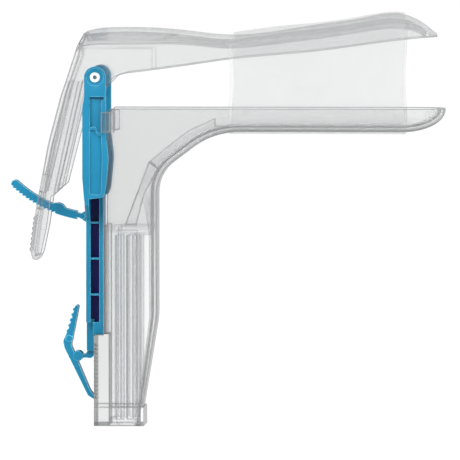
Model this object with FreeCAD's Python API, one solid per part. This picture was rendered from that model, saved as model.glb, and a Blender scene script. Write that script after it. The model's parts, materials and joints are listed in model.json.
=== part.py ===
"""Bivalve speculum with a height slide, an angle ratchet and a light channel. Millimetres.

The origin is the middle of the light socket's mouth, in the foot of the handle. +Z runs up the handle,
+X runs along the bills to their tips, and Y runs across. The instrument is the same on both sides of Y.
"""
import FreeCAD, Part
import math
import os

# Light socket and the insert that carries it
SOCKET_R = 4.0
SOCKET_WALL = 1.0
SOCKET_DEPTH = 72.0
SOCKET_END_WALL = 2.0
FIN_T = 1.2
COLLAR_T = 3.4
COLLAR_BACK_X = -2.6
FOOT_FLANGE = 2.4
FIT = 0.05

# Handle and its foot
FOOT_FRONT_X = 6.8
FOOT_BACK_X = -11.7
FOOT_H = 7.0
FOOT_HALF = 10.6
TAPER_FOOT_X = 6.3
TAPER_TOP_Z = 40.0
HANDLE_FRONT_X = 11.65
HANDLE_BACK_X = -8.1
HANDLE_HALF = 10.2
NECK_HALF = 10.8
NECK_Z = 70.0
FLARE_TOP_Z = 86.0
LEDGE_Z = 33.7
FRONT_WALL = 2.0
FOOT_WALL = 1.2
SIDE_WALL = 1.8
BACK_LIP = 1.8
SLOT_HALF = 5.0

# Lower bill and the arch that carries it
BILL_HALF = 13.2
BILL_WALL = 1.7
BILL_CORNER_R = 7.0
LOWER_LENGTH = 106.2
LOWER_RIM_Z = 117.4
LOWER_DEPTH = 8.8
LOWER_TIP_RUN = 16.0
NOSE_STEPS = 6
NOSE_NARROWING = 0.7
NOSE_LIFT = 0.92
BODY_END_X = 44.0
ARCH_X = 23.1
ARCH_Z = 101.6
ARCH_ANGLE = 37.0
ARCH_LOW_R = 14.0
ARCH_HIGH_R = 29.0
BODY_BACK_X = -7.1
BODY_STEP_Z = 108.8
BODY_CHAMFER = 1.8

# Ears that hold the slide's arms against the body
EAR_LOW_Z = 108.8
EAR_HIGH_Z = 116.2
EAR_T = 1.1
EAR_WEB = 1.5
EAR_LAP = 3.2

# Rack on the handle's back
RACK_PITCH = 1.5
RACK_DEPTH = 1.0
RACK_TEETH = 14
RACK_LOW_Z = 9.7
RACK_HALF = 3.8

# Light guides along the arch
GUIDE_HALF = 3.5
GUIDE_T = 4.2
GUIDE_GAP = 0.15
GUIDE_END_X = 32.7
GUIDE_END_TOP_Z = 113.6
GUIDE_FOOT_X = -0.7
GUIDE_KNEE = (8.1, 97.4)
GUIDE_SPLIT = (11.6, 95.0)

# Pivot of the upper bill
PIVOT_X = -10.85
PIVOT_Z = 129.0
TRUNNION_R = 1.77
TRUNNION_BORE_R = 0.8
TRUNNION_BORE_DEPTH = 1.2
PIVOT_FIT = 0.08

# Upper bill
UPPER_WALL = 1.7
UPPER_REACH = 125.55
CHEEK_R = 5.6

# Thumb lever
LEVER_WALL = 1.6
WINDOW_HALF = 7.6
WINDOW_LOW_Z = 92.5
WINDOW_HIGH_Z = 139.5
TONGUE_HALF = 9.0
TONGUE_SHOULDER_Z = 88.0
LEVER_SHOULDER_Z = 108.0
GRIP_RIBS = 7
GRIP_PITCH = 1.9
GRIP_HEIGHT = 0.5
GRIP_TOP_Z = 76.6
ARM_SLOT_HALF = 3.5
ARM_SLOT_IN_R = 47.5
ARM_SLOT_OUT_R = 53.7

# Slide: arms, bridge, stem and rail
ARM_GAP = 0.3
ARM_T = 2.8
ARM_HEAD_R = 3.96
HEAD_RECESS_R = 3.2
HEAD_RECESS = 0.5
ARM_UPPER_RECESS = 1.4
ARM_LOWER_RECESS = 0.8
STEM_BACK_X = -14.7
STEM_BACK_T = 1.6
STEM_FRONT_T = 1.4
STEM_GAP = 0.3
STEM_HALF = 7.5
STEM_WEB_HALF = 0.9
STEM_POCKET_TOP_Z = 84.7
STEM_POCKET_LOW_Z = 38.2
STEM_TOP_Z = 85.5
RUNG_T = 0.6
RUNG_Z = (75.1, 61.8, 48.5)
BRIDGE_FOOT_Z = 76.0
ARM_FOOT_Z = 81.8
SEAT_GAP = 0.1
CLIP_BACK_X = -12.2
TAIL_FOOT_Z = 27.6
TAIL_HALF = 4.5
TAIL_GAP = 0.3
RAIL_LOW_Z = 41.0
RAIL_HIGH_Z = 69.5
RAIL_FIT = 0.3
RAIL_HEAD_T = 0.8
RUNNER_HALF = 8.2
RUNNER_INNER = 5.6
RUNNER_DEPTH = 2.2

# Ratchet arm
RATCHET_ROOT = (6.2, 52.0)
RATCHET_MIDDLE = (23.2, 51.2)
RATCHET_TIP = (37.4, 50.2)
RATCHET_HALF_T = 1.5
RATCHET_HALF_W = 3.1
RATCHET_BEAD_R = 1.1
HINGE_FIT = 0.08
RATCHET_TEETH = 15
RATCHET_PITCH = 1.5
RATCHET_TOOTH = 0.6
RATCHET_FIRST_TOOTH = 10.0
PAD_AT = 9.4
PAD_RISE = 1.1
PAD_LENGTH = 5.0

# Height latch and its link
LATCH_X = -18.1
LATCH_Z = 25.5
LATCH_BEAD_R = 0.95
LATCH_HALF_W = 3.4
LATCH_TIP_GAP = 0.12
LATCH_RIBS = 5
LATCH_RIB_PITCH = 2.0
LATCH_RIB_R = 0.55
LINK_HALF_W = 3.0
LINK_T = 1.3

# Film sleeve
SLEEVE_FROM_X = 38.1
SLEEVE_TO_X = 103.3
SLEEVE_GAP = 0.45
SLEEVE_T = 0.3

KEEL_Z = LOWER_RIM_Z - LOWER_DEPTH
LOWER_TIP_X = HANDLE_FRONT_X + LOWER_LENGTH
ARM_IN_Y = BILL_HALF + ARM_GAP
ARM_OUT_Y = ARM_IN_Y + ARM_T
CHANNEL_TOP_Z = SOCKET_DEPTH + SOCKET_END_WALL
SOCKET_OUT_R = SOCKET_R + SOCKET_WALL
STEM_FRONT_X = HANDLE_BACK_X - STEM_GAP

# Upper bill by station: distance from the pivot, rim, shoulder and crown heights above the pivot
UPPER_STATIONS = (
    (-4.25, 2.0, 12.5, 16.6),
    (6.75, 1.0, 13.4, 18.2),
    (23.65, 2.9, 13.6, 17.9),
    (34.45, 4.4, 13.4, 16.9),
    (48.95, 6.5, 12.1, 15.5),
    (81.55, 9.6, 15.5, 19.3),
    (97.85, 11.8, 18.0, 21.7),
    (114.15, 13.9, 19.3, 22.9),
    (122.25, 14.6, 16.0, 18.6),
)


def in_side_view(u, v):
    return FreeCAD.Vector(u, 0, v)


def in_front_view(u, v):
    return FreeCAD.Vector(0, u, v)


def outline(points, place=in_side_view):
    """Closed wire through the points; a third number rounds that corner with a tangent arc."""
    spots = [place(point[0], point[1]) for point in points]
    radii = [point[2] if len(point) > 2 else 0.0 for point in points]
    count = len(points)
    entries, middles, exits = [], [], []
    for index, spot in enumerate(spots):
        back = (spots[index - 1] - spot).normalize()
        ahead = (spots[(index + 1) % count] - spot).normalize()
        radius = radii[index]
        half_angle = back.getAngle(ahead) / 2
        reach = radius / math.tan(half_angle) if radius else 0.0
        entries.append(spot + back * reach)
        exits.append(spot + ahead * reach)
        bisector = (back + ahead).normalize() if radius else back
        middles.append(spot + bisector * (radius / math.sin(half_angle) - radius))
    edges = []
    for index in range(count):
        if radii[index]:
            edges.append(Part.Arc(entries[index], middles[index], exits[index]).toShape())
        following = entries[(index + 1) % count]
        if exits[index].distanceToPoint(following) > 1e-6:
            edges.append(Part.LineSegment(exits[index], following).toShape())
    return Part.Wire(edges)


def plate(points, y_from, y_to):
    """A side-view outline given its thickness across."""
    face = Part.Face(outline(points))
    face.translate(FreeCAD.Vector(0, y_from, 0))
    return face.extrude(FreeCAD.Vector(0, y_to - y_from, 0))


def slab(points, x_from, x_to):
    """A front-view outline given its thickness lengthwise."""
    face = Part.Face(outline(points, in_front_view))
    face.translate(FreeCAD.Vector(x_from, 0, 0))
    return face.extrude(FreeCAD.Vector(x_to - x_from, 0, 0))


def block(x_from, x_to, y_from, y_to, z_from, z_to):
    size = (x_to - x_from, y_to - y_from, z_to - z_from)
    return Part.makeBox(*size, FreeCAD.Vector(x_from, y_from, z_from))


def cross_pin(x, z, radius, y_from, y_to):
    """A round pin that lies across the instrument."""
    return Part.makeCylinder(radius, y_to - y_from, FreeCAD.Vector(x, y_from, z), FreeCAD.Vector(0, 1, 0))


def with_mirror(shape):
    """The shape and its copy on the other side of the middle plane."""
    return [shape, shape.mirror(FreeCAD.Vector(0, 0, 0), FreeCAD.Vector(0, 1, 0))]


def even(points):
    """A front-view half outline, given from bottom to top at +Y, closed by its own reflection."""
    return [(-point[0],) + tuple(point[1:]) for point in points] + [tuple(point) for point in points[::-1]]


def fused(shapes):
    return shapes[0].multiFuse(list(shapes[1:])).removeSplitter()


def around_pivot(degrees, radius):
    """A side-view point by its angle behind straight down and its distance from the upper bill's pivot."""
    turn = math.radians(degrees)
    return (PIVOT_X - radius * math.sin(turn), PIVOT_Z - radius * math.cos(turn))


def ring_band(centre, inner, outer, from_angle, to_angle, half_width):
    """Part of a flat ring about a side-view centre; angles run from +X towards +Z, in radians."""
    def spot(radius, angle):
        return in_side_view(centre[0] + radius * math.cos(angle), centre[1] + radius * math.sin(angle))

    middle = (from_angle + to_angle) / 2
    wire = Part.Wire([
        Part.Arc(spot(outer, from_angle), spot(outer, middle), spot(outer, to_angle)).toShape(),
        Part.LineSegment(spot(outer, to_angle), spot(inner, to_angle)).toShape(),
        Part.Arc(spot(inner, to_angle), spot(inner, middle), spot(inner, from_angle)).toShape(),
        Part.LineSegment(spot(inner, from_angle), spot(outer, from_angle)).toShape(),
    ])
    face = Part.Face(wire)
    face.translate(FreeCAD.Vector(0, -half_width, 0))
    return face.extrude(FreeCAD.Vector(0, 2 * half_width, 0))


def arch_corners(inset):
    """The two corners of the arch line between handle front and keel, moved inwards by the inset."""
    slope = math.tan(math.radians(ARCH_ANGLE))
    rise = inset / math.cos(math.radians(ARCH_ANGLE))
    low_x = HANDLE_FRONT_X - inset
    low_z = ARCH_Z + rise + slope * (low_x - ARCH_X)
    high_z = KEEL_Z + inset
    high_x = ARCH_X + (high_z - ARCH_Z - rise) / slope
    return [(low_x, low_z, ARCH_LOW_R + inset), (high_x, high_z, ARCH_HIGH_R + inset)]


def arch_slope_point(x, inset):
    """A point on the straight middle of the arch line, moved inwards by the inset."""
    angle = math.radians(ARCH_ANGLE)
    return (x, ARCH_Z + inset / math.cos(angle) + math.tan(angle) * (x - ARCH_X))


def front_half(inset, base_z, top_z):
    """Half widths of handle, neck and body from the foot up, moved inwards by the inset."""
    return [
        (FOOT_HALF - inset, base_z), (FOOT_HALF - inset, FOOT_H), (HANDLE_HALF - inset, FOOT_H),
        (NECK_HALF - inset, NECK_Z), (BILL_HALF - inset, FLARE_TOP_Z), (BILL_HALF - inset, top_z),
    ]


def taper_x(wall, z):
    """Front of the handle below its taper, or its inside for a wall that grows to the full front wall."""
    foot_x = TAPER_FOOT_X - wall
    top_x = HANDLE_FRONT_X - (FRONT_WALL if wall else 0.0)
    return foot_x + (top_x - foot_x) * (z - FOOT_H) / (TAPER_TOP_Z - FOOT_H)


def keel_edges(shape, half, beyond_z):
    """Edges of the arch and handle front that lie on the two flat sides."""
    chosen = []
    for edge in shape.Edges:
        box = edge.BoundBox
        on_side = abs(abs(box.YMin) - half) < 1e-4 and box.YLength < 1e-4
        low_front = box.ZMax < beyond_z and box.XMin > 1.0
        if on_side and low_front and box.ZMax - box.ZMin + box.XLength > 1e-3:
            chosen.append(edge)
    return chosen


def body_hull():
    """Outer form of the handle, the arch and the body, with its keel edges rounded."""
    low, high = arch_corners(0.0)
    side = [
        (taper_x(0.0, 0.0), 0), (HANDLE_FRONT_X, TAPER_TOP_Z, 30.0), low, high, (BODY_END_X, KEEL_Z),
        (BODY_END_X, LOWER_RIM_Z), (BODY_BACK_X + BODY_CHAMFER, LOWER_RIM_Z),
        (BODY_BACK_X, LOWER_RIM_Z - BODY_CHAMFER), (BODY_BACK_X, BODY_STEP_Z),
        (HANDLE_BACK_X, BODY_STEP_Z), (HANDLE_BACK_X, LEDGE_Z), (FOOT_BACK_X, LEDGE_Z, 0.8),
        (FOOT_BACK_X, 0),
    ]
    hull = plate(side, -BILL_HALF, BILL_HALF)
    hull = hull.makeFillet(BILL_CORNER_R, keel_edges(hull, BILL_HALF, KEEL_Z + 0.01))
    widths = slab(even(front_half(0.0, 0.0, LOWER_RIM_Z)), FOOT_BACK_X - 1, BODY_END_X + 1)
    collar = block(FOOT_BACK_X, FOOT_FRONT_X, -FOOT_HALF, FOOT_HALF, 0, FOOT_H)
    return hull.common(widths).fuse(collar)


def body_hollow(gap=0.0):
    """Inside of the handle and body, or a snug filling of it that keeps the gap from every wall.

    It is open at the foot, at the rim and at the back above the channel.
    """
    low, high = arch_corners(FRONT_WALL + gap)
    floor_high = (high[0], KEEL_Z + BILL_WALL + gap, high[2])
    inner_back = HANDLE_BACK_X + BACK_LIP + gap
    behind = FOOT_BACK_X - 5
    side = [
        (taper_x(FOOT_WALL, -1.0) - gap, -1), (HANDLE_FRONT_X - FRONT_WALL - gap, TAPER_TOP_Z, 30.0), low,
        floor_high, (BODY_END_X + 1, KEEL_Z + BILL_WALL + gap), (BODY_END_X + 1, LOWER_RIM_Z + 1),
        (behind, LOWER_RIM_Z + 1), (behind, CHANNEL_TOP_Z), (inner_back, CHANNEL_TOP_Z), (inner_back, -1),
    ]
    inner_half = BILL_HALF - BILL_WALL - gap
    hollow = plate(side, -inner_half, inner_half)
    rounded = keel_edges(hollow, inner_half, KEEL_Z + BILL_WALL + gap + 0.01)
    hollow = hollow.makeFillet(BILL_CORNER_R - BILL_WALL - gap, rounded)
    widths = front_half(SIDE_WALL + gap, -1.0, LOWER_RIM_Z + 1)
    hollow = hollow.common(slab(even(widths), behind, BODY_END_X + 1))
    if gap:
        return hollow
    passage = Part.makeCylinder(SOCKET_OUT_R + FIT, FOOT_H * 2, FreeCAD.Vector(0, 0, -1))
    return hollow.fuse(passage)


def trough_section(x, half, rim_z, floor_z, corner):
    """Cross-section of the lower bill: flat rim, upright sides and a floor with round corners."""
    corner = min(corner, half * 0.7, (rim_z - floor_z) * 0.9)
    slant = corner * (1 - math.sqrt(0.5))

    def spot(y, z):
        return FreeCAD.Vector(x, y, z)

    edges = [
        Part.LineSegment(spot(-half, rim_z), spot(-half, floor_z + corner)).toShape(),
        Part.Arc(spot(-half, floor_z + corner), spot(-half + slant, floor_z + slant),
                 spot(-half + corner, floor_z)).toShape(),
        Part.LineSegment(spot(-half + corner, floor_z), spot(half - corner, floor_z)).toShape(),
        Part.Arc(spot(half - corner, floor_z), spot(half - slant, floor_z + slant),
                 spot(half, floor_z + corner)).toShape(),
        Part.LineSegment(spot(half, floor_z + corner), spot(half, rim_z)).toShape(),
        Part.LineSegment(spot(half, rim_z), spot(-half, rim_z)).toShape(),
    ]
    return Part.Wire(edges)


def lower_trough(inset):
    """The lower bill's form, or its hollow for an inset: a straight run and a rounded duck-bill nose."""
    nose_x = LOWER_TIP_X - LOWER_TIP_RUN
    rim_z = LOWER_RIM_Z + (1.0 if inset else 0.0)
    floor_z = KEEL_Z + inset
    corner = BILL_CORNER_R - inset
    run = LOWER_TIP_RUN - inset
    straight = [trough_section(x, BILL_HALF - inset, rim_z, floor_z, corner) for x in (BODY_END_X, nose_x)]
    nose = []
    for step in range(NOSE_STEPS + 1):
        share = math.sin(math.pi / 2 * step / NOSE_STEPS) * 0.997
        narrow = 1 - NOSE_NARROWING * (1 - math.sqrt(1 - share ** 2.6))
        lift = NOSE_LIFT * (1 - math.sqrt(1 - share ** 2))
        nose.append(trough_section(nose_x + run * share, BILL_HALF * narrow - inset, rim_z,
                                   floor_z + (LOWER_DEPTH - inset) * lift, corner))
    return Part.makeLoft(straight, True, True).fuse(Part.makeLoft(nose, True, False))


def ears():
    """Hooks on the body's back corners that lap over the slide's arms and let them run up and down."""
    web_x = BODY_BACK_X + EAR_LAP - EAR_WEB
    out_y = ARM_OUT_Y + ARM_GAP
    hook = block(web_x, web_x + EAR_WEB, BILL_HALF - 0.5, out_y + EAR_T, EAR_LOW_Z, EAR_HIGH_Z)
    lap = block(BODY_BACK_X - 1.4, web_x + EAR_WEB, out_y, out_y + EAR_T, EAR_LOW_Z, EAR_HIGH_Z)
    return with_mirror(hook.fuse(lap))


def rack_notches():
    """Saw-tooth notches with level floors that hold the latch against a downward push."""
    notches = []
    for index in range(RACK_TEETH):
        floor_z = RACK_LOW_Z + RACK_PITCH * index
        tooth = [(FOOT_BACK_X - 0.2, floor_z), (FOOT_BACK_X + RACK_DEPTH, floor_z),
                 (FOOT_BACK_X - 0.2, floor_z + RACK_PITCH * 0.95)]
        notches.append(plate(tooth, -RACK_HALF, RACK_HALF))
    return notches


def lower_bill():
    hull = body_hull()
    solid = fused([hull, lower_trough(0.0)] + ears())
    hollow = body_hollow().fuse(lower_trough(BILL_WALL))
    slot = block(HANDLE_BACK_X - 1, HANDLE_BACK_X + BACK_LIP + 1, -SLOT_HALF, SLOT_HALF,
                 LEDGE_Z, CHANNEL_TOP_Z + 1)
    return solid.cut([hollow, slot] + rack_notches())


def light_channel():
    """Tube with side fins, a collar at its top and a flange that closes the handle's foot."""
    tube = Part.makeCylinder(SOCKET_OUT_R, CHANNEL_TOP_Z)
    front = HANDLE_FRONT_X
    half = NECK_HALF
    foot = block(FOOT_BACK_X, front, -half, half, 0, FOOT_FLANGE)
    fins = block(-FIN_T / 2, FIN_T / 2, -half, half, 0, CHANNEL_TOP_Z)
    collar = block(COLLAR_BACK_X, front, -half, half, CHANNEL_TOP_Z - COLLAR_T, CHANNEL_TOP_Z)
    spread = fused([foot, fins, collar]).common(body_hollow(FIT))
    bore = Part.makeCylinder(SOCKET_R, SOCKET_DEPTH + 1, FreeCAD.Vector(0, 0, -1))
    return fused([tube, spread]).cut(bore)


def light_guide_collector():
    """Lower length of the light guide: stands on the channel's top and leans to the arch."""
    side = [
        (GUIDE_FOOT_X, CHANNEL_TOP_Z), (GUIDE_FOOT_X + GUIDE_T, CHANNEL_TOP_Z),
        (GUIDE_FOOT_X + GUIDE_T + 2.6, 84.8, 20.0), GUIDE_SPLIT, GUIDE_KNEE,
    ]
    return plate(side, -GUIDE_HALF, GUIDE_HALF)


def light_guide_outlet():
    """Upper length of the light guide: follows the arch to a square end under the bill."""
    low, high = arch_corners(FRONT_WALL + GUIDE_GAP)
    side = [
        (GUIDE_KNEE[0] + 0.1, GUIDE_KNEE[1] + 0.1), (GUIDE_SPLIT[0] + 0.1, GUIDE_SPLIT[1] + 0.1),
        arch_slope_point(16.2, FRONT_WALL + GUIDE_GAP + 0.2), high, (GUIDE_END_X, high[1]),
        (GUIDE_END_X, GUIDE_END_TOP_Z), (22.0, 108.6, 24.0),
    ]
    return plate(side, -GUIDE_HALF, GUIDE_HALF)


def upper_section(station, half, wall):
    """Cross-section of the upper bill: upright sides and an arched crown."""
    x, rim, shoulder, crown = station
    x += PIVOT_X
    rim_z = PIVOT_Z + rim - (1.0 if wall else 0.0)
    shoulder_z = PIVOT_Z + shoulder - wall * 0.8
    crown_z = PIVOT_Z + crown - wall

    def spot(y, z):
        return FreeCAD.Vector(x, y, z)

    edges = [
        Part.LineSegment(spot(-half, rim_z), spot(-half, shoulder_z)).toShape(),
        Part.Arc(spot(-half, shoulder_z), spot(0, crown_z), spot(half, shoulder_z)).toShape(),
        Part.LineSegment(spot(half, shoulder_z), spot(half, rim_z)).toShape(),
        Part.LineSegment(spot(half, rim_z), spot(-half, rim_z)).toShape(),
    ]
    return Part.Wire(edges)


def upper_shell():
    """Solid form and hollow of the upper bill, each lofted through its stations."""
    halves = [BILL_HALF] * 7 + [BILL_HALF * 0.97, BILL_HALF * 0.72]
    nose = (UPPER_REACH, 14.7, 15.1, 15.9)
    outer = [upper_section(station, half, 0.0) for station, half in zip(UPPER_STATIONS, halves)]
    outer.append(upper_section(nose, BILL_HALF * 0.35, 0.0))
    inner = [upper_section((station[0] - (2.0 if index == 0 else UPPER_WALL * 0.5), *station[1:]),
                           half - UPPER_WALL, UPPER_WALL)
             for index, (station, half) in enumerate(zip(UPPER_STATIONS, halves))]
    return Part.makeLoft(outer, True, False), Part.makeLoft(inner, True, False)


def lever_side(inset):
    """Side view of cheeks, rails and tongue; the inset moves only the back edge."""
    back = [
        (-15.1, 145.2), (-17.6, 140.6), (-21.7, 127.9), (-23.6, 122.5), (-28.5, 104.0), (-32.0, 86.7),
        (-33.9, 75.9), (-35.3, 64.8),
    ]
    return [(x + inset, z) for x, z in back]


def lever():
    """Cheeks, rails and tongue as one channel, open towards the handle, with a window to look through."""
    front = [
        (-34.4, 61.6, 0.8), (-32.5, 61.1, 0.8), (-31.2, 64.0), (-29.1, 74.0), (-27.6, 84.5), (-22.2, 89.4),
        (-15.5, 117.0), (PIVOT_X, PIVOT_Z - CHEEK_R - 1.5, CHEEK_R), (PIVOT_X + 7.2, PIVOT_Z + 0.2),
        (PIVOT_X + 12, PIVOT_Z + 1.6), (PIVOT_X + 12, PIVOT_Z + 12.6), (PIVOT_X - 2, PIVOT_Z + 12.6),
    ]
    widths = even([
        (TONGUE_HALF, 60.0), (TONGUE_HALF, TONGUE_SHOULDER_Z), (BILL_HALF, LEVER_SHOULDER_Z),
        (BILL_HALF, 150.0),
    ])
    inner_widths = even([
        (TONGUE_HALF - LEVER_WALL, 60.0), (TONGUE_HALF - LEVER_WALL, TONGUE_SHOULDER_Z),
        (BILL_HALF - LEVER_WALL, LEVER_SHOULDER_Z), (BILL_HALF - LEVER_WALL, 150.0),
    ])
    form = plate(lever_side(0.0) + front, -BILL_HALF, BILL_HALF).common(slab(widths, -40, 10))
    hollow_top = (lever_side(LEVER_WALL)[1][0], WINDOW_HIGH_Z)
    hollow_side = [hollow_top] + lever_side(LEVER_WALL)[2:]
    hollow_side += [(-33.6, 62.8), (10.0, 62.8), (10.0, WINDOW_HIGH_Z)]
    hollow = plate(hollow_side, -BILL_HALF, BILL_HALF).common(slab(inner_widths, -40, 11))
    window = slab(even([
        (WINDOW_HALF - 2.5, WINDOW_LOW_Z, 2.0), (WINDOW_HALF, WINDOW_LOW_Z + 14.0, 6.0),
        (WINDOW_HALF, WINDOW_HIGH_Z, 3.0),
    ]), -40, -10)
    return form, hollow, window


def tongue_ribs():
    """Thumb ribs across the outside of the tongue."""
    ribs = []
    for index in range(GRIP_RIBS):
        z = GRIP_TOP_Z - GRIP_PITCH * index
        x = -33.9 - (75.9 - z) * (35.3 - 33.9) / (75.9 - 64.8)
        ribs.append(cross_pin(x + 0.35, z, GRIP_HEIGHT + 0.35, -(TONGUE_HALF - 2.4), TONGUE_HALF - 2.4))
    return ribs


def upper_bill():
    shell, hollow = upper_shell()
    form, lever_hollow, window = lever()
    trunnion = cross_pin(PIVOT_X, PIVOT_Z, TRUNNION_R, BILL_HALF - 0.5, ARM_OUT_Y - 0.1)
    dimple = cross_pin(PIVOT_X, PIVOT_Z, TRUNNION_BORE_R, ARM_OUT_Y - 0.1 - TRUNNION_BORE_DEPTH, ARM_OUT_Y)
    solid = fused([shell, form] + with_mirror(trunnion))
    straight_down = -math.pi / 2
    slot = ring_band((PIVOT_X, PIVOT_Z), ARM_SLOT_IN_R, ARM_SLOT_OUT_R, straight_down - math.radians(32),
                     straight_down - math.radians(14), ARM_SLOT_HALF)
    solid = solid.cut([hollow, lever_hollow, window, slot] + with_mirror(dimple))
    return fused([solid] + tongue_ribs())


def arm_outline(inset):
    """Side view of one slide arm; the inset leaves a border round a recess."""
    return [
        (-15.5 + inset, 84.4), (-15.5 + inset, 91.8), (-15.5 + inset, 118.0), (-14.8 + inset, 122.0),
        (PIVOT_X - ARM_HEAD_R + inset, PIVOT_Z), (PIVOT_X - ARM_HEAD_R + inset, PIVOT_Z + ARM_HEAD_R, ARM_HEAD_R),
        (PIVOT_X + ARM_HEAD_R - inset, PIVOT_Z + ARM_HEAD_R, ARM_HEAD_R), (PIVOT_X + ARM_HEAD_R - inset, 108.0),
        (-5.8 - inset, 99.0, 20.0), (-6.9 - inset, 87.5), (-7.9 - inset, 84.7),
    ]


def slide_arm():
    """One arm of the slide with its pivot hole and the recesses of its outer face."""
    side = arm_outline(0.0)[:-1] + [(-7.9, 84.7, 1.5), (-14.0, 84.0), (-14.0, ARM_FOOT_Z), (-14.5, ARM_FOOT_Z)]
    side[0] = (-14.9, 84.4)
    arm = plate(side, ARM_IN_Y, ARM_OUT_Y)
    hole = cross_pin(PIVOT_X, PIVOT_Z, TRUNNION_R + PIVOT_FIT, ARM_IN_Y - 1, ARM_OUT_Y + 1)
    dish = cross_pin(PIVOT_X, PIVOT_Z, HEAD_RECESS_R, ARM_OUT_Y - HEAD_RECESS, ARM_OUT_Y + 1)
    slit = plate([(-12.8, 120.7), (-7.5, 120.7), (-7.5, 121.9), (-12.8, 121.9)], ARM_IN_Y - 1, ARM_OUT_Y + 1)
    upper = plate([(-12.8, 110.6), (-10.6, 110.9, 1.2), (-9.6, 108.4, 1.0), (-8.3, 108.4), (-8.3, 120.7),
                   (-12.8, 120.7)], ARM_OUT_Y - ARM_UPPER_RECESS, ARM_OUT_Y + 1)
    lower = plate([(-12.8, 86.0, 1.0), (-8.6, 85.6, 1.0), (-8.1, 99.0, 20.0), (-8.5, 107.6),
                   (-9.9, 107.6, 1.0), (-11.0, 110.0, 1.0), (-12.8, 109.8)],
                  ARM_OUT_Y - ARM_LOWER_RECESS, ARM_OUT_Y + 1)
    return arm.cut([hole, dish, slit, upper, lower])


def stem():
    """Laddered stem: back plate, front plate, a web between them, rungs and the clip block."""
    front_from = STEM_FRONT_X - STEM_FRONT_T
    inner_back = STEM_BACK_X + STEM_BACK_T
    seat_z = LEDGE_Z + SEAT_GAP
    back = block(STEM_BACK_X, inner_back, -STEM_HALF, STEM_HALF, STEM_POCKET_LOW_Z, STEM_TOP_Z)
    front = block(front_from, STEM_FRONT_X, -STEM_HALF, STEM_HALF, seat_z, STEM_TOP_Z)
    web = block(STEM_BACK_X, STEM_FRONT_X, -STEM_WEB_HALF, STEM_WEB_HALF, seat_z, STEM_TOP_Z)
    cap = block(STEM_BACK_X, STEM_FRONT_X, -STEM_HALF, STEM_HALF, STEM_POCKET_TOP_Z, STEM_TOP_Z)
    clip = block(CLIP_BACK_X, STEM_FRONT_X, -STEM_HALF, STEM_HALF, seat_z, STEM_POCKET_LOW_Z)
    rungs = [block(inner_back - 0.2, front_from + 0.2, -STEM_HALF, STEM_HALF, z - RUNG_T / 2, z + RUNG_T / 2)
             for z in RUNG_Z]
    tail = block(STEM_BACK_X, FOOT_BACK_X - TAIL_GAP, -TAIL_HALF, TAIL_HALF, TAIL_FOOT_Z, STEM_POCKET_LOW_Z + 1)
    return [back, front, web, cap, clip, tail] + rungs


def bridge():
    """Shoulders that join the two arms to the stem, behind the body."""
    half = [(STEM_HALF, BRIDGE_FOOT_Z), (ARM_OUT_Y, ARM_FOOT_Z), (ARM_OUT_Y, STEM_TOP_Z)]
    return slab(even(half), STEM_BACK_X, STEM_BACK_X + STEM_BACK_T)


def rail():
    """T-shaped rail that rides in the handle's back slot, with two runners astride the light channel."""
    neck_front = HANDLE_BACK_X + BACK_LIP + RAIL_FIT
    neck = block(STEM_FRONT_X - 0.2, neck_front, -(SLOT_HALF - RAIL_FIT), SLOT_HALF - RAIL_FIT,
                 RAIL_LOW_Z, RAIL_HIGH_Z)
    head = block(neck_front, neck_front + RAIL_HEAD_T, -RUNNER_HALF, RUNNER_HALF, RAIL_LOW_Z, RAIL_HIGH_Z)
    runner = block(neck_front, neck_front + RUNNER_DEPTH, RUNNER_INNER, RUNNER_HALF, RAIL_LOW_Z, RAIL_HIGH_Z)
    return [neck, head] + with_mirror(runner)


def ratchet_root_block():
    """Raised seat on the stem's back for the ratchet arm's film hinge."""
    x, z = around_pivot(*RATCHET_ROOT)
    seat = plate([(STEM_BACK_X + 0.3, z - 2.6), (STEM_BACK_X + 0.3, z + 2.2), (x, z + 1.3), (x, z - 1.3)],
                 -RATCHET_HALF_W, RATCHET_HALF_W)
    groove = cross_pin(x, z, RATCHET_BEAD_R + HINGE_FIT, -RATCHET_HALF_W - 1, RATCHET_HALF_W + 1)
    return seat, groove


def yoke():
    seat, groove = ratchet_root_block()
    shape = fused(with_mirror(slide_arm()) + stem() + [bridge(), seat] + rail())
    return shape.cut(groove)


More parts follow.
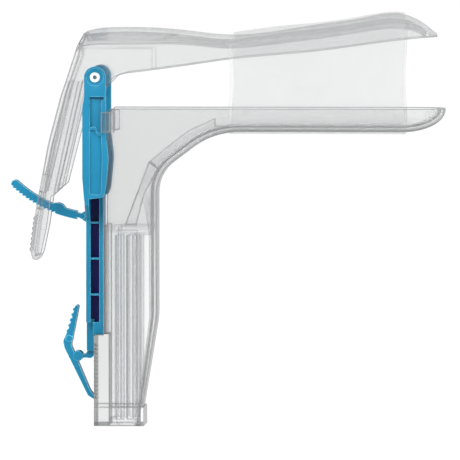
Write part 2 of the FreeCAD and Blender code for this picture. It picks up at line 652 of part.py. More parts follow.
def ratchet_arm():
    """Toothed arm bent towards the pivot, with a round bead at its root and a thumb pad on top."""
    spots = [in_side_view(*around_pivot(*place)) for place in (RATCHET_ROOT, RATCHET_MIDDLE, RATCHET_TIP)]
    curve = Part.Arc(*spots).toShape().Curve
    centre = (curve.Center.x, curve.Center.z)
    radius = curve.Radius

    def bearing(spot):
        return math.atan2(spot.z - centre[1], spot.x - centre[0])

    root, tip = bearing(spots[0]), bearing(spots[2])
    band = ring_band(centre, radius - RATCHET_HALF_T, radius + RATCHET_HALF_T, root, tip, RATCHET_HALF_W)
    bead = cross_pin(spots[0].x, spots[0].z, RATCHET_BEAD_R, -RATCHET_HALF_W, RATCHET_HALF_W)
    round_end = cross_pin(spots[2].x, spots[2].z, RATCHET_HALF_T, -RATCHET_HALF_W, RATCHET_HALF_W)
    clear_root = cross_pin(spots[0].x, spots[0].z, RATCHET_BEAD_R + 1.3, -RATCHET_HALF_W - 1, RATCHET_HALF_W + 1)

    def on_arm(along, offset):
        """Side-view point by its distance along the arm from the root and its offset outwards."""
        angle = root - along / radius
        reach = radius + offset
        return (centre[0] + reach * math.cos(angle), centre[1] + reach * math.sin(angle))

    neck = plate([on_arm(0.0, -0.8), on_arm(3.4, -0.8), on_arm(3.4, 0.8), on_arm(0.0, 0.8)],
                 -RATCHET_HALF_W, RATCHET_HALF_W)
    notches = []
    for index in range(RATCHET_TEETH):
        start = RATCHET_FIRST_TOOTH + RATCHET_PITCH * index
        tooth = [on_arm(start, RATCHET_HALF_T + 0.2), on_arm(start, RATCHET_HALF_T - RATCHET_TOOTH),
                 on_arm(start + RATCHET_PITCH * 0.9, RATCHET_HALF_T + 0.2)]
        notches.append(plate(tooth, -RATCHET_HALF_W - 1, RATCHET_HALF_W + 1))
    half_pad = PAD_LENGTH / 2
    pad = plate([on_arm(PAD_AT - half_pad, 0.0), on_arm(PAD_AT + half_pad, 0.0),
                 on_arm(PAD_AT + half_pad, -RATCHET_HALF_T - 0.1),
                 on_arm(PAD_AT + 0.6, -RATCHET_HALF_T - PAD_RISE) + (0.8,),
                 on_arm(PAD_AT - 0.9, -RATCHET_HALF_T - PAD_RISE) + (0.8,),
                 on_arm(PAD_AT - half_pad, -RATCHET_HALF_T - 0.1)],
                -RATCHET_HALF_W, RATCHET_HALF_W)
    arm = band.cut(clear_root)
    arm = fused([arm, bead, neck, round_end, pad])
    return arm.cut(notches)


def height_latch():
    """Squeeze lever: ribbed finger, knee with a boss, and a long foot that catches the rack."""
    tip_x = FOOT_BACK_X - LATCH_TIP_GAP
    side = [
        (-17.6, 44.6, 0.7), (-19.0, 44.2, 0.5), (-21.4, 36.0), (-23.6, 31.0, 2.0), (-23.0, 28.4, 2.0),
        (-14.4, 10.9), (tip_x - 0.4, 9.5), (tip_x, 9.6), (tip_x, 10.2), (-13.7, 13.0), (-20.6, 29.4, 2.5),
        (-19.2, 36.0),
    ]
    lever_form = plate(side, -LATCH_HALF_W, LATCH_HALF_W)
    boss = cross_pin(-21.3, 31.9, 1.3, -LATCH_HALF_W - 0.4, LATCH_HALF_W + 0.4)
    ribs = []
    for index in range(LATCH_RIBS):
        z = 42.8 - LATCH_RIB_PITCH * index
        x = -19.3 - (43.2 - z) * 0.29
        ribs.append(cross_pin(x, z, LATCH_RIB_R, -LATCH_HALF_W, LATCH_HALF_W))
    hub = cross_pin(LATCH_X, LATCH_Z, LATCH_BEAD_R + HINGE_FIT + 0.9, -LATCH_HALF_W, LATCH_HALF_W)
    mouth = plate([(LATCH_X, LATCH_Z + 1.5), (LATCH_X, LATCH_Z - 1.2), (LATCH_X + 4, LATCH_Z - 2.2),
                   (LATCH_X + 4, LATCH_Z + 4)], -LATCH_HALF_W - 1, LATCH_HALF_W + 1)
    socket = cross_pin(LATCH_X, LATCH_Z, LATCH_BEAD_R + HINGE_FIT, -LATCH_HALF_W - 1, LATCH_HALF_W + 1)
    shape = fused([lever_form, boss, hub] + ribs)
    return shape.cut([mouth, socket])


def latch_spring():
    """J-shaped flexing link from the slide's tail to a bead that the latch turns on."""
    tail_mid = (STEM_BACK_X + FOOT_BACK_X - TAIL_GAP) / 2
    inner = (STEM_BACK_X + 0.2, TAIL_FOOT_Z)
    side = [
        inner, (FOOT_BACK_X - TAIL_GAP, TAIL_FOOT_Z), (FOOT_BACK_X - TAIL_GAP, TAIL_FOOT_Z - 3.4, 1.8),
        (tail_mid - 1.5, LATCH_Z - LINK_T / 2), (LATCH_X, LATCH_Z - LINK_T / 2), (LATCH_X, LATCH_Z + LINK_T / 2),
        (STEM_BACK_X - 0.6, LATCH_Z + LINK_T / 2, 0.6),
    ]
    bead = cross_pin(LATCH_X, LATCH_Z, LATCH_BEAD_R, -LINK_HALF_W, LINK_HALF_W)
    return fused([plate(side, -LINK_HALF_W, LINK_HALF_W), bead])


def sleeve_section(station, half, gap):
    """Cross-section round both bills: the upper bill's crown above, the lower bill's floor below."""
    x = PIVOT_X + station[0]
    half += gap
    shoulder_z = PIVOT_Z + station[2] + gap
    crown_z = PIVOT_Z + station[3] + gap
    floor_z = KEEL_Z - gap
    corner = BILL_CORNER_R + gap
    slant = corner * (1 - math.sqrt(0.5))

    def spot(y, z):
        return FreeCAD.Vector(x, y, z)

    return Part.Wire([
        Part.LineSegment(spot(-half, floor_z + corner), spot(-half, shoulder_z)).toShape(),
        Part.Arc(spot(-half, shoulder_z), spot(0, crown_z), spot(half, shoulder_z)).toShape(),
        Part.LineSegment(spot(half, shoulder_z), spot(half, floor_z + corner)).toShape(),
        Part.Arc(spot(half, floor_z + corner), spot(half - slant, floor_z + slant),
                 spot(half - corner, floor_z)).toShape(),
        Part.LineSegment(spot(half - corner, floor_z), spot(-half + corner, floor_z)).toShape(),
        Part.Arc(spot(-half + corner, floor_z), spot(-half + slant, floor_z + slant),
                 spot(-half, floor_z + corner)).toShape(),
    ])


def sleeve():
    """Thin film tube round both bills, open at both ends."""
    covered = UPPER_STATIONS[3:]

    def wrapped(gap):
        return Part.makeLoft([sleeve_section(station, BILL_HALF, gap) for station in covered], True, False)

    film = wrapped(SLEEVE_GAP + SLEEVE_T).cut(wrapped(SLEEVE_GAP))
    return film.common(block(SLEEVE_FROM_X, SLEEVE_TO_X, -2 * BILL_HALF, 2 * BILL_HALF, 0, 2 * PIVOT_Z))


PIECES = (lower_bill, light_channel, light_guide_collector, light_guide_outlet, upper_bill, yoke,
          ratchet_arm, height_latch, latch_spring, sleeve)

os.makedirs("parts", exist_ok=True)
for piece in PIECES:
    shape = piece()
    name = piece.__name__
    print(name, "valid", shape.isValid(), "solids", len(shape.Solids), "volume", round(shape.Volume, 1))
    shape.exportStep("parts/" + name + ".step")
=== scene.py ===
"""A clear bivalve speculum with a teal slide and a film sleeve, dressed in its own plastics. Metres."""
import json
import math

import bpy
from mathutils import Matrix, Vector


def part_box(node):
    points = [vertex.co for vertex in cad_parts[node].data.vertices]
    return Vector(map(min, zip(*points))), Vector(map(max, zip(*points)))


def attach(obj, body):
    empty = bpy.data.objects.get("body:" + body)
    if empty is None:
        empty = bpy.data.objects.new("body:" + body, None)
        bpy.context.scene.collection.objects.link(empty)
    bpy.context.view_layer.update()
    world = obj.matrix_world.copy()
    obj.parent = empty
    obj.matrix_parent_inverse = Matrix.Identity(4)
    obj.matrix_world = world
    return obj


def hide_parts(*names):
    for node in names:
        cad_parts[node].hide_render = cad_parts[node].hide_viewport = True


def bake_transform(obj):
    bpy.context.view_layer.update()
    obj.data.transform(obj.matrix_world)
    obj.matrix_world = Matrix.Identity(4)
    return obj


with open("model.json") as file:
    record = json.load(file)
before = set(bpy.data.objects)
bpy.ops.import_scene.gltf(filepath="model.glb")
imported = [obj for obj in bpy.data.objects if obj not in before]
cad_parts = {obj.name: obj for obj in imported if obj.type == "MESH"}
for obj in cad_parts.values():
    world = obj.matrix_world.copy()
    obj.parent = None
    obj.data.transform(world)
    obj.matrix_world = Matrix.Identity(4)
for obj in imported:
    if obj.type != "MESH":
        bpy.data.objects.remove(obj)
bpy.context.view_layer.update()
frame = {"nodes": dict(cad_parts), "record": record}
nodes = frame["nodes"]
bpy.ops.object.select_all(action="DESELECT")


# Lower bill, body and handle: one clear acrylic moulding, polished, with a faint grey body and a few flow
# lines left by the filling of the mould. It holds everything else.
class Value:
    """A number or colour of a material's tree, with the usual arithmetic on numbers."""

    def __init__(self, finish, socket):
        self.finish = finish
        self.socket = socket

    def _math(self, operation, *terms):
        return self.finish.add("ShaderNodeMath", {"operation": operation}, dict(enumerate(terms)))

    def __add__(self, other):
        return self._math("ADD", self, other)

    def __radd__(self, other):
        return self._math("ADD", other, self)

    def __sub__(self, other):
        return self._math("SUBTRACT", self, other)

    def __rsub__(self, other):
        return self._math("SUBTRACT", other, self)

    def __mul__(self, other):
        return self._math("MULTIPLY", self, other)

    def __rmul__(self, other):
        return self._math("MULTIPLY", other, self)

    def between(self, low, high):
        """One where the number lies between the limits, and nought elsewhere."""
        return self._math("GREATER_THAN", self, low) * self._math("LESS_THAN", self, high)


class Finish:
    """A material and its node tree, built one node at a time."""

    def __init__(self, name):
        self.material = bpy.data.materials.new(name)
        self.material.use_nodes = True
        self.tree = self.material.node_tree
        self.tree.nodes.clear()

    def add(self, kind, settings, sockets, output=0):
        """A node of that kind, its settings made first, then its sockets set or linked; gives one output."""
        node = self.tree.nodes.new(kind)
        for name, setting in settings.items():
            setattr(node, name, setting)
        for name, value in sockets.items():
            if isinstance(value, Value):
                self.tree.links.new(value.socket, node.inputs[name])
            else:
                node.inputs[name].default_value = value
        return Value(self, node.outputs[output])

    def place(self):
        """The point's place in the row frame, as its three coordinates."""
        point = self.add("ShaderNodeTexCoord", {}, {}, "Object")
        return point, [self.add("ShaderNodeSeparateXYZ", {}, {"Vector": point}, axis) for axis in "XYZ"]

    def blotches(self, point, scale, detail=2.0):
        return self.add("ShaderNodeTexNoise", {}, {"Vector": point, "Scale": scale, "Detail": detail})

    def stretched(self, point, scale):
        return self.add("ShaderNodeMapping", {}, {"Vector": point, "Scale": scale})

    def bump(self, height, distance, strength=1.0):
        return self.add("ShaderNodeBump", {}, {"Height": height, "Distance": distance, "Strength": strength})

    def tint(self, share, first, second):
        return self.add("ShaderNodeMix", {"data_type": "RGBA"}, {0: share, 6: first, 7: second}, 2)

    def show(self, shader):
        output = self.tree.nodes.new("ShaderNodeOutputMaterial")
        self.tree.links.new(shader.socket, output.inputs["Surface"])
        return self.material


# This dark grey is both the plastic's faint smoky tint and the painted shade at its edges and edge-on
# places.
SMOKE_AND_EDGE_SHADE = (0.2, 0.205, 0.21, 1.0)
# Painted highlight: this near-white is shown on the trunnion faces in place of a reflection.
TRUNNION_HIGHLIGHT = (0.85, 0.86, 0.86, 1.0)
ACRYLIC_IOR = 1.49
FLOW_STRETCH = (40.0, 160.0, 160.0)


def clear_acrylic(name, colour, roughness, haze, edge, line, bent, width=0.0009, wave=(1.0, 0.00012),
                  thicker=None, painted_highlight=None):
    """Polished clear plastic: mostly see-through with a faint smoky grey, and painted shade, a dark grey, at
    its edges and where it is seen edge on.
    """
    finish = Finish(name)
    point, place = finish.place()
    flow = finish.blotches(finish.stretched(point, FLOW_STRETCH), wave[0])
    bevel_normal = finish.add("ShaderNodeBevel", {"samples": 6}, {"Radius": width})
    flat = finish.add("ShaderNodeNewGeometry", {}, {}, "Normal")
    turned = finish.add("ShaderNodeVectorMath", {"operation": "DOT_PRODUCT"}, {0: bevel_normal, 1: flat}, "Value")
    ripple = finish.bump(flow, wave[1], 0.25)
    glass = finish.add("ShaderNodeBsdfPrincipled", {}, {
        "Base Color": colour,
        "Roughness": roughness,
        "IOR": ACRYLIC_IOR,
        "Transmission Weight": 1.0,
        "Normal": ripple,
    })
    sheer = finish.add("ShaderNodeBsdfTransparent", {}, {"Color": colour})
    # Painted highlight: the masked places show a near-white solid.
    white = painted_highlight(*place) if painted_highlight else None
    solid = finish.add("ShaderNodeBsdfPrincipled", {}, {
        "Base Color": finish.tint(white, SMOKE_AND_EDGE_SHADE, TRUNNION_HIGHLIGHT) if painted_highlight else SMOKE_AND_EDGE_SHADE,
        "Roughness": 0.3,
        "Specular IOR Level": 0.15,
        "Normal": ripple,
    })
    facing = finish.add("ShaderNodeLayerWeight", {}, {"Blend": 0.5}, "Facing")
    # Painted shade: the dark grey solid shows where the surface is seen edge on and in a band along every
    # edge found by the bevel's normal.
    share = facing * facing * facing * edge + (1 - turned) * line + haze
    if thicker:
        share = share + thicker(*place)
    if painted_highlight:
        share = share + white
    share.socket.node.use_clamp = True
    shell = finish.add("ShaderNodeMixShader", {}, {0: share, 1: sheer, 2: solid})
    return finish.show(finish.add("ShaderNodeMixShader", {}, {0: bent, 1: shell, 2: glass}))


BELOW_FOOT_Z = -0.001
BLOCK_TOP_Z = 0.0338
HANDLE_TOP_Z = 0.0715
BODY_TOP_Z = 0.1195
BLOCK_X = (-0.012, -0.0062)
HANDLE_X = (-0.0062, 0.03)
BODY_X = (-0.01, 0.0385)
BODY_HAZE = 0.055
BLOCK_HAZE = 0.13
HANDLE_CLEARER = 0.035


def body_walls(x, y, z):
    """The body's cheeks and the block behind the channel are thicker than the handle's walls."""
    cheeks = z.between(HANDLE_TOP_Z, BODY_TOP_Z) * x.between(*BODY_X)
    block = z.between(BELOW_FOOT_Z, BLOCK_TOP_Z) * x.between(*BLOCK_X)
    handle = z.between(BELOW_FOOT_Z, HANDLE_TOP_Z) * x.between(*HANDLE_X)
    return cheeks * BODY_HAZE + block * BLOCK_HAZE - handle * HANDLE_CLEARER


def dress(node, material):
    nodes[node].data.materials.clear()
    nodes[node].data.materials.append(material)


MOULDING_COLOUR = (0.985, 0.988, 0.988, 1.0)
lower_material = clear_acrylic("clear_moulding", MOULDING_COLOUR, 0.03, haze=0.058, edge=2.2, line=9.0,
                               width=0.0007, bent=0.12, thicker=body_walls)
dress("lower_bill", lower_material)

# Upper bill: a second clear acrylic moulding, from the bill over the hinge to the two rails and the thumb
# tongue. Its arched crown is seen aslant, and the faces of its two trunnions carry a painted white
# highlight.
TRUNNION_FACE_Y = 0.0158
RAIL_SLANT = 0.227
# Painted shade along the lever's rails: where its dark lines run, and how much grey they and the rails' body
# add.
RAIL_LINES = ((-0.0463, -0.0457), (-0.0448, -0.0444), (-0.0499, -0.0493))
RAIL_Z = (0.086, 0.1275)
LEVER_X = (-0.04, -0.016)
RAIL_LINE_SHADE = 0.4
LEVER_HAZE = 0.02


def trunnion_faces(x, y, z):
    """The outer ends of the two trunnions, where the painted white highlight goes."""
    return y.between(-1.0, -TRUNNION_FACE_Y) + y.between(TRUNNION_FACE_Y, 1.0)


def lever_rails(x, y, z):
    """Painted shade: dark lines along two moulded grooves and an edge down each rail of the thumb lever, and
    the rails' greyer body.
    """
    aslant = x - z * RAIL_SLANT
    back_groove, front_groove, edge_line = (aslant.between(*sides) for sides in RAIL_LINES)
    lines = back_groove + front_groove + edge_line
    return z.between(*RAIL_Z) * (lines * RAIL_LINE_SHADE + x.between(*LEVER_X) * LEVER_HAZE)


upper_material = clear_acrylic("clear_upper_moulding", MOULDING_COLOUR, 0.03, haze=0.08, edge=0.5,
                               line=9.0, width=0.0007, bent=0.15, thicker=lever_rails,
                               painted_highlight=trunnion_faces)
dress("upper_bill", upper_material)

# Light channel: a ribbed clear insert up the handle that carries the light socket. Thin upright ribs brace
# it against the handle's sides; in front, they start where the handle is wide enough.
CHANNEL_COLOUR = (0.993, 0.996, 1.0, 1.0)
RIB_X = (-0.0037, -0.0018, 0.0004, 0.0026, 0.0041, 0.0056)
RIB_LOW_Z = (0.0026, 0.0026, 0.0026, 0.0026, 0.0050, 0.0135)
RIB_HIGH_Z = 0.0705
RIB_T = 0.0005
RIB_INNER_Y = 0.0052
RIB_OUTER_Y = 0.0082
RIB_EDGE = 0.00012
channel_material = clear_acrylic("channel_moulding", CHANNEL_COLOUR, 0.05, haze=0.01, edge=0.35,
                                 line=4.0, width=0.0005, bent=0.08)
rib_material = clear_acrylic("channel_ribs", CHANNEL_COLOUR, 0.05, haze=0.16, edge=0.5, line=5.0,
                             width=0.0002, bent=0.1)
dress("light_channel", channel_material)
for side, side_name in ((-1, "near"), (1, "far")):
    bpy.ops.object.select_all(action="DESELECT")
    ribs = []
    for rib_x, rib_low_z in zip(RIB_X, RIB_LOW_Z):
        bpy.ops.mesh.primitive_cube_add(size=1.0, location=(rib_x, side * (RIB_INNER_Y + RIB_OUTER_Y) / 2,
                                                            (rib_low_z + RIB_HIGH_Z) / 2))
        rib = bpy.context.object
        rib.scale = (RIB_T, RIB_OUTER_Y - RIB_INNER_Y, RIB_HIGH_Z - rib_low_z)
        bpy.ops.object.transform_apply(location=True, scale=True)
        bpy.ops.object.mode_set(mode="EDIT")
        bpy.ops.mesh.select_all(action="SELECT")
        bpy.ops.mesh.bevel(offset=RIB_EDGE, segments=2)
        bpy.ops.object.mode_set(mode="OBJECT")
        ribs.append(rib)
    for rib in ribs:
        rib.select_set(True)
    bpy.ops.object.join()
    row = bpy.context.object
    row.name = "channel_ribs_" + side_name
    row.data.materials.append(rib_material)
    row.select_set(False)
    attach(row, "body")

# Light guides: two clear bars above the channel, with uneven drawn faces all over.
GUIDE_COLOUR = (0.98, 0.985, 0.985, 1.0)
guide_material = clear_acrylic("light_guide", GUIDE_COLOUR, 0.02, haze=0.04, edge=1.2, line=9.0, bent=0.4,
                               wave=(5.0, 0.0006))
dress("light_guide_collector", guide_material)
dress("light_guide_outlet", guide_material)

# Slide: one teal moulding of two arms and a laddered stem, with a satin gloss. Its edges carry a painted
# highlight with painted shade beside them, and the stem's pockets are painted navy for the shade they lie
# in.
# What guides it inside the handle doesn't show, so this copy of the solid is closed at the stem's front
# face, and the slit in each arm has a floor.
POCKET_X = (-0.0131, -0.0098)
POCKET_Z = (0.0382, 0.0847)
WEB_HALF = 0.001
STEM_FRONT_X = -0.0084
GUIDE_TOP_Z = 0.08
ARM_IN_Y = 0.01355
SLIT_X = -0.01015
SLIT_Z = 0.1213
SLIT_LONG = 0.0056
SLIT_HIGH = 0.0014
SLIT_FLOOR = 0.0008
ROUNDING = 0.00018
ROUNDED_FROM = 35
TEAL_DEEP = (0.002, 0.135, 0.25, 1.0)
TEAL_LIGHT = (0.005, 0.19, 0.33, 1.0)
TEAL_SHADOW = (0.0, 0.075, 0.15, 1.0)
TEAL_EDGE_HIGHLIGHT = (0.12, 0.58, 0.80, 1.0)
POCKET_SHADE_NAVY = (0.0, 0.002, 0.17, 1.0)
SHADOW_FROM = 0.08
EDGE_FROM = 0.5
EDGE_TO = 9.0


def teal_plastic():
    """Satin teal with fine grain, painted shade beside its edges, a painted highlight on them, and navy
    painted shade in the stem's pockets.
    """
    finish = Finish("teal_plastic")
    point, (x, y, z) = finish.place()
    cloud = finish.blotches(point, 90.0)
    grain = finish.blotches(point, 2600.0, 3.0)
    bevel_normal = finish.add("ShaderNodeBevel", {"samples": 6}, {"Radius": 0.0006})
    flat = finish.add("ShaderNodeNewGeometry", {}, {}, "Normal")
    turned = finish.add("ShaderNodeVectorMath", {"operation": "DOT_PRODUCT"}, {0: bevel_normal, 1: flat}, "Value")
    # Painted shade in a band beside each edge and a painted highlight on the edge itself, both found by the
    # bevel's normal.
    rim = (1 - turned) * 4.0
    rim.socket.node.use_clamp = True
    # Painted shade: the stem's pockets are painted navy for the shade deep inside them.
    pocket_shade = x.between(*POCKET_X) * y.between(-WEB_HALF, WEB_HALF) * z.between(*POCKET_Z)
    plain = finish.tint(cloud, TEAL_DEEP, TEAL_LIGHT)
    shadow = finish.tint(rim.between(SHADOW_FROM, EDGE_FROM), plain, TEAL_SHADOW)
    edge_highlighted = finish.tint(rim.between(EDGE_FROM, EDGE_TO), shadow, TEAL_EDGE_HIGHLIGHT)
    shader = finish.add("ShaderNodeBsdfPrincipled", {}, {
        "Base Color": finish.tint(pocket_shade, edge_highlighted, POCKET_SHADE_NAVY),
        "Roughness": 0.34 + cloud * 0.16,
        "Specular IOR Level": 0.22,
        "Coat Weight": 0.04,
        "Coat Roughness": 0.2,
        "Normal": finish.bump(grain, 0.00004, 0.35),
    })
    return finish.show(shader)


teal = teal_plastic()
slide = bpy.data.objects.new("slide_moulding", nodes["yoke"].data.copy())
bpy.context.scene.collection.objects.link(slide)
slide.data.materials.clear()
slide.data.materials.append(teal)
bpy.context.view_layer.objects.active = slide
slide.select_set(True)
bpy.ops.object.mode_set(mode="EDIT")
bpy.ops.mesh.select_all(action="SELECT")
bpy.ops.mesh.remove_doubles(threshold=1e-6)
bpy.ops.mesh.select_all(action="DESELECT")
bpy.ops.object.mode_set(mode="OBJECT")
for vertex in slide.data.vertices:
    vertex.select = vertex.co.x > STEM_FRONT_X + 1e-5 and vertex.co.z < GUIDE_TOP_Z
bpy.ops.object.mode_set(mode="EDIT")
bpy.ops.mesh.delete(type="VERT")
bpy.ops.mesh.select_non_manifold()
bpy.ops.mesh.fill()
bpy.ops.mesh.normals_make_consistent(inside=False)
bpy.ops.object.mode_set(mode="OBJECT")
slide.select_set(False)
for side in (-1, 1):
    bpy.ops.mesh.primitive_cube_add(size=1.0, location=(SLIT_X, side * (ARM_IN_Y + SLIT_FLOOR / 2), SLIT_Z))
    floor_of_slit = bpy.context.object
    floor_of_slit.scale = (SLIT_LONG, SLIT_FLOOR, SLIT_HIGH)
    bpy.ops.object.transform_apply(location=True, scale=True)
    filled = slide.modifiers.new("slit_floor", "BOOLEAN")
    filled.operation = "UNION"
    filled.object = floor_of_slit
    bpy.context.view_layer.objects.active = slide
    bpy.ops.object.modifier_apply(modifier=filled.name)
    bpy.data.objects.remove(floor_of_slit)
slide.select_set(True)
bpy.ops.object.shade_smooth()
rounding = slide.modifiers.new("rounding", "BEVEL")
rounding.width = ROUNDING
rounding.segments = 2
rounding.limit_method = "ANGLE"
rounding.angle_limit = math.radians(ROUNDED_FROM)
rounding.harden_normals = True
slide.select_set(False)
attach(slide, "slide")
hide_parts("yoke")

# Ratchet arm, height latch and the link that the latch turns on: the same teal plastic as the slide. A flat
# round cheek on each side of the latch closes its socket over the end of the link.
CHEEK_R = 0.0019
CHEEK_FROM_Y = 0.0034
CHEEK_T = 0.0003
CHEEK_EDGE = 0.00008
for teal_node in ("ratchet_arm", "height_latch", "latch_spring"):
    dress(teal_node, teal)
latch_x, _, latch_z = next(joint["pos_m"] for joint in frame["record"]["behaviour"]["joints"]
                           if joint["name"] == "height_latch_squeeze")
for side in (-1, 1):
    middle_y = side * (CHEEK_FROM_Y + CHEEK_T / 2)
    bpy.ops.mesh.primitive_cylinder_add(vertices=40, radius=CHEEK_R, depth=CHEEK_T,
                                        location=(latch_x, middle_y, latch_z), rotation=(math.pi / 2, 0, 0))
    cheek = bpy.context.object
    cheek.name = "latch_cheek_near" if side < 0 else "latch_cheek_far"
    bpy.ops.object.transform_apply(location=True, rotation=True)
    bpy.ops.object.mode_set(mode="EDIT")
    bpy.ops.mesh.select_all(action="SELECT")
    bpy.ops.mesh.bevel(offset=CHEEK_EDGE, segments=2)
    bpy.ops.object.mode_set(mode="OBJECT")
    cheek.data.materials.append(teal)
    cheek.select_set(False)
    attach(cheek, "latch")

# Film sleeve: a tube of thin milky film, slipped over both bills and stretched between them. It is made as
# two lengths of film that share a seam just above the lower bill's rim.
FILM_ROUND = 176
FILM_LONG = 110
FILM_THICK = 0.00012
FILM_ROOM = 0.003
FILM_COLOUR = (0.44, 0.45, 0.45, 1.0)
FILM_LOWER_ROUND = 0.042
FILM_UPPER_ROUND = 0.088
FILM_SEAM_Z = 0.1185
FREE_MID_Z = 0.128
FREE_HALF_Z = 0.011
WRINKLE_FROM_X = 0.086
WRINKLE_TURNS = 1900
WRINKLE_LEAN = 30
WRINKLE_DEPTH = 0.00035
DRAWN_IN = 0.0007
film_low, film_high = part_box("sleeve")
film_mid = (film_low + film_high) / 2
film_half = (film_high - film_low) / 2


def film_finish():
    """Thin milky film, cloudy in places, with faint upright streaks."""
    finish = Finish("milky_film")
    point, _ = finish.place()
    cloud = finish.blotches(point, 70.0)
    streaks = finish.blotches(finish.stretched(point, (700.0, 60.0, 60.0)), 1.0)
    shader = finish.add("ShaderNodeBsdfPrincipled", {}, {
        "Base Color": FILM_COLOUR,
        "Roughness": 0.22 + cloud * 0.2,
        "Specular IOR Level": 0.3,
        "Alpha": 0.125 + cloud * 0.05,
        "Normal": finish.bump(streaks, 0.0003, 0.5),
    })
    return finish.show(shader)


def film_tube():
    """A grid rolled into a square tube round the bills and drawn on to the solid sleeve's outer face."""
    bpy.ops.mesh.primitive_grid_add(x_subdivisions=FILM_LONG, y_subdivisions=FILM_ROUND, size=2.0)
    tube = bpy.context.object
    half_y = film_half.y + FILM_ROOM
    half_z = film_half.z + FILM_ROOM
    for vertex in tube.data.vertices:
        angle = math.pi * vertex.co.y
        reach = 1 / max(abs(math.cos(angle)) / half_y, abs(math.sin(angle)) / half_z)
        vertex.co = (film_mid.x + film_half.x * vertex.co.x, film_mid.y + reach * math.cos(angle),
                     film_mid.z + reach * math.sin(angle))
    bpy.ops.object.mode_set(mode="EDIT")
    bpy.ops.mesh.select_all(action="SELECT")
    bpy.ops.mesh.remove_doubles(threshold=1e-6)
    bpy.ops.mesh.normals_make_consistent(inside=False)
    bpy.ops.object.mode_set(mode="OBJECT")
    wrap = tube.modifiers.new("wrap", "SHRINKWRAP")
    wrap.target = nodes["sleeve"]
    wrap.wrap_method = "NEAREST_SURFACEPOINT"
    bpy.ops.object.modifier_apply(modifier=wrap.name)
    return tube


def wrinkle(tube):
    """Presses shallow upright wrinkles into the free film near the tips and draws the free edges in."""
    for vertex in tube.data.vertices:
        x, y, z = vertex.co
        free = max(0.0, 1 - ((z - FREE_MID_Z) / FREE_HALF_Z) ** 2)
        near_tip = max(0.0, (x - WRINKLE_FROM_X) / (film_high.x - WRINKLE_FROM_X))
        turns = (x - WRINKLE_FROM_X) * WRINKLE_TURNS + WRINKLE_LEAN * (z - film_mid.z)
        fold = math.sin(turns) * WRINKLE_DEPTH * near_tip
        vertex.co.y = y + math.copysign(fold * free, y)
        along = (x - film_mid.x) / film_half.x
        vertex.co.x = x - DRAWN_IN * free * along ** 5


def film_length(name, tube, keep_above):
    """One side of the seam, cut from a copy of the whole tube."""
    bpy.ops.object.select_all(action="DESELECT")
    tube.select_set(True)
    bpy.context.view_layer.objects.active = tube
    bpy.ops.object.duplicate()
    piece = bpy.context.object
    piece.name = name
    bpy.ops.object.mode_set(mode="EDIT")
    bpy.ops.mesh.select_all(action="SELECT")
    bpy.ops.mesh.bisect(plane_co=(0, 0, FILM_SEAM_Z), plane_no=(0, 0, 1), clear_inner=keep_above,
                        clear_outer=not keep_above)
    bpy.ops.object.mode_set(mode="OBJECT")
    bpy.ops.object.shade_smooth()
    film = piece.modifiers.new("film", "SOLIDIFY")
    film.thickness = FILM_THICK
    film.offset = -1.0
    return piece


tube = film_tube()
wrinkle(tube)
film_material = film_finish()
film_lower = film_length("film_lower", tube, keep_above=False)
film_upper = film_length("film_upper", tube, keep_above=True)
bpy.data.objects.remove(tube)
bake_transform(film_lower)
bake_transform(film_upper)
for film_piece, flat_round, bill_node in ((film_lower, FILM_LOWER_ROUND, "lower_bill"),
                                          (film_upper, FILM_UPPER_ROUND, "upper_bill")):
    film_piece.data.materials.append(film_material)
    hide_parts("sleeve")

# Studio: a pale floor under the handle's foot, a white surround and two soft lights above, seen by a long
# lens from the side.
PIXEL = 0.00037
PICTURE = 460
CENTRE_X = (PICTURE / 2 - 126.9) * PIXEL
CENTRE_Z = (425 - PICTURE / 2) * PIXEL
AZIMUTH = math.radians(3.0)
ELEVATION = math.radians(2.6)
DISTANCE = 3.0
FLOOR_Z = -0.0005
FLOOR_GREY = (0.12, 0.12, 0.12, 1.0)
FLOOR_GLOW = 0.97
WHITE = (1.0, 1.0, 1.0, 1.0)
SKY_GREY = (0.3, 0.3, 0.3, 1.0)

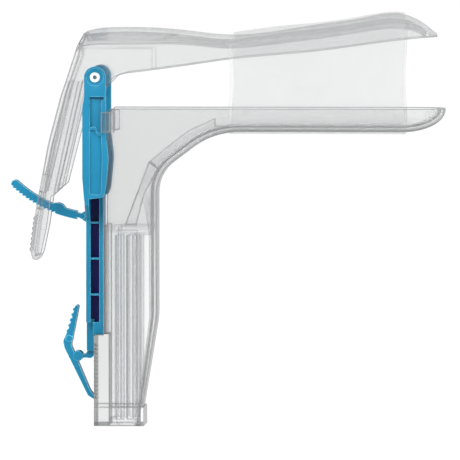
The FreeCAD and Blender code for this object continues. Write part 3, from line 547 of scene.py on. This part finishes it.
bpy.ops.mesh.primitive_plane_add(size=40, location=(0, 0, FLOOR_Z))
floor = bpy.context.object
floor.name = "floor"
floor_finish = Finish("pale_floor")
floor.data.materials.append(floor_finish.show(floor_finish.add("ShaderNodeBsdfPrincipled", {}, {
    "Base Color": FLOOR_GREY,
    "Roughness": 0.9,
    "Specular IOR Level": 0.0,
    "Emission Color": WHITE,
    "Emission Strength": FLOOR_GLOW,
})))

world = bpy.data.worlds.new("white_surround")
bpy.context.scene.world = world
world.use_nodes = True
sky = world.node_tree
direction = sky.nodes.new("ShaderNodeTexCoord")
split = sky.nodes.new("ShaderNodeSeparateXYZ")
ramp = sky.nodes.new("ShaderNodeValToRGB")
sky.links.new(direction.outputs["Generated"], split.inputs[0])
sky.links.new(split.outputs["Z"], ramp.inputs["Fac"])
sky.links.new(ramp.outputs["Color"], sky.nodes["Background"].inputs["Color"])
ramp.color_ramp.elements[0].position = 0.3
ramp.color_ramp.elements[0].color = WHITE
ramp.color_ramp.elements[1].position = 0.5
ramp.color_ramp.elements[1].color = SKY_GREY


def soft_light(name, place, size, power):
    bpy.ops.object.light_add(type="AREA", location=place)
    light = bpy.context.object
    light.name = name
    light.data.size = size
    light.data.energy = power
    towards = Vector((CENTRE_X, 0, CENTRE_Z)) - Vector(place)
    light.rotation_euler = towards.to_track_quat("-Z", "Y").to_euler()


soft_light("key_light", (-0.35, -0.6, 0.75), 0.5, 9.0)
soft_light("fill_light", (0.6, -0.5, 0.4), 0.4, 4.0)

camera_data = bpy.data.cameras.new("camera")
camera = bpy.data.objects.new("camera", camera_data)
bpy.context.scene.collection.objects.link(camera)
target = Vector((CENTRE_X, 0, CENTRE_Z))
away = Vector((math.sin(AZIMUTH) * math.cos(ELEVATION), -math.cos(AZIMUTH) * math.cos(ELEVATION),
               math.sin(ELEVATION)))
camera.location = target + away * DISTANCE
camera.rotation_euler = (-away).to_track_quat("-Z", "Y").to_euler()
camera_data.sensor_width = 36.0
camera_data.lens = camera_data.sensor_width * DISTANCE / (PICTURE * PIXEL)
camera_data.clip_start = 0.01
bpy.context.scene.camera = camera

scene = bpy.context.scene
scene.view_settings.view_transform = "Standard"
scene.cycles.max_bounces = 24
scene.cycles.transmission_bounces = 24
scene.cycles.transparent_max_bounces = 24
